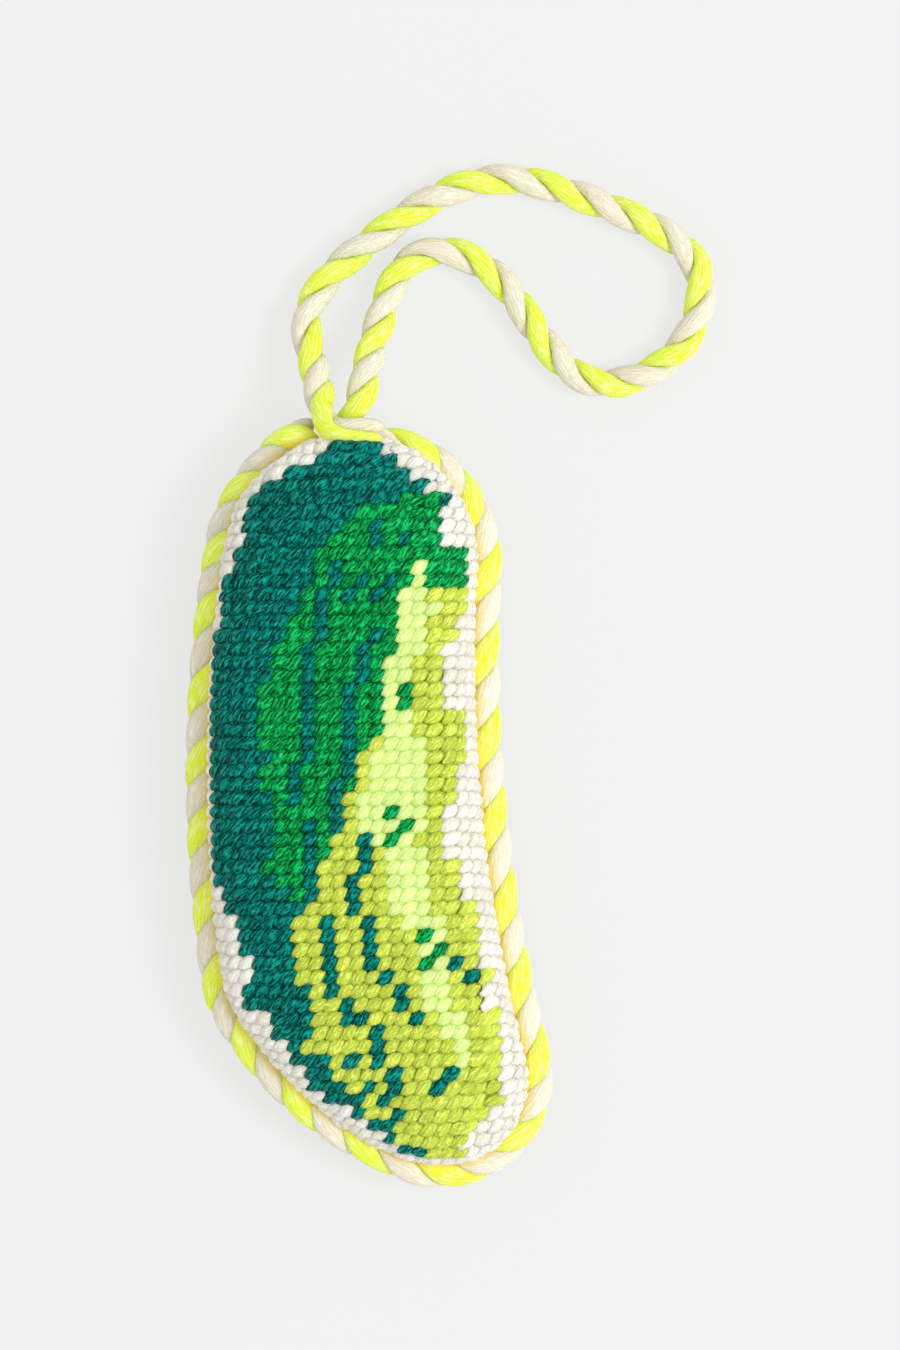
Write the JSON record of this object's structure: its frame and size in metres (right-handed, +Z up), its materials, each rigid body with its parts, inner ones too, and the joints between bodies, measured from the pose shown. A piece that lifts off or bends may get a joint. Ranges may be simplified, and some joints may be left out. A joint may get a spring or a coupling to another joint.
{
  "type": "stuffed pickle ornament",
  "caption": "Stuffed needlepoint pickle ornament with shaded green wool stitches, a two-ply twisted cord sewn round its edge and a free cord loop for hanging.",
  "frame": {"origin": "under the middle of the corded cushion, on the surface that it lies on", "axes": "+Y along the pickle towards its hanging loop, +Z up through the stitched face"},
  "size_m": [0.0781, 0.1501, 0.018],
  "materials": {
    "canvas": "open woven cotton canvas, matte",
    "wool_cream": "plied wool tent stitches, matte",
    "wool_teal": "plied wool tent stitches, matte",
    "wool_emerald": "plied wool tent stitches, matte",
    "wool_lime": "plied wool tent stitches, matte",
    "wool_neon": "plied wool tent stitches, matte",
    "velveteen": "short cotton pile, soft sheen",
    "fibre_fill": "loose polyester fibre",
    "thread": "fine sewing thread",
    "cord_yellow": "soft wool ply with combed fibres",
    "cord_cream": "soft wool ply with combed fibres"
  },
  "bodies": {
    "ornament": {"canvas_front": "canvas", "yarn_cream": "wool_cream", "yarn_teal": "wool_teal", "yarn_emerald": "wool_emerald", "yarn_lime": "wool_lime", "yarn_neon": "wool_neon", "back_panel": "velveteen", "stuffing": "fibre_fill", "seam_thread": "thread", "cord_thread": "thread", "edge_cord": "cord_yellow"},
    "loop": {"hanging_loop": "cord_cream"}
  },
  "joints": [
    {"name": "loop_swing", "type": "hinge", "parent": "ornament", "child": "loop", "pos_m": [-0.00465, 0.05915, 0.008], "axis": [1, 0, 0], "range_deg": [0, 100]}
  ]
}
